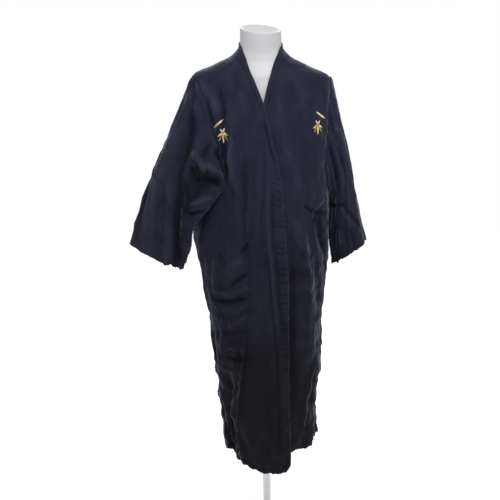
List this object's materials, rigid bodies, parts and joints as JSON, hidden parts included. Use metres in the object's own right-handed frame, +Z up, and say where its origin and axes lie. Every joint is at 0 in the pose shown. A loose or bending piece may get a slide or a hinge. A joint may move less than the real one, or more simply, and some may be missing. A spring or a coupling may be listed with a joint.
{
  "type": "kimono robe on dress form",
  "caption": "Dark wrap-over kimono robe with wide sleeves and one long collar band, worn by a limbless dress form on a pole and round base.",
  "frame": {"origin": "centre of the stand's underside, on the floor below the pole", "axes": "+Z up, -Y towards the viewer of the robe's front, +X to that viewer's right"},
  "size_m": [0.7035, 0.37, 1.5758],
  "materials": {
    "robe_cloth": "soft satin sheen",
    "form_white": "semi-gloss",
    "pole_steel": "brushed",
    "base_steel": "brushed"
  },
  "bodies": {
    "root": {"right_panel_front_skirt": "robe_cloth", "right_panel_front_hip": "robe_cloth", "right_panel_front_chest": "robe_cloth", "right_panel_back_shoulder": "robe_cloth", "right_panel_back_hip": "robe_cloth", "right_panel_back_skirt": "robe_cloth", "left_panel_front_skirt": "robe_cloth", "left_panel_front_hip": "robe_cloth", "left_panel_front_chest": "robe_cloth", "left_panel_back_shoulder": "robe_cloth", "left_panel_back_hip": "robe_cloth", "left_panel_back_skirt": "robe_cloth", "right_overlap_gore": "robe_cloth", "left_overlap_gore": "robe_cloth", "collar_band": "robe_cloth", "right_sleeve": "robe_cloth", "left_sleeve": "robe_cloth", "dress_form": "form_white", "stand_pole": "pole_steel", "stand_base": "base_steel"}
  },
  "joints": []
}
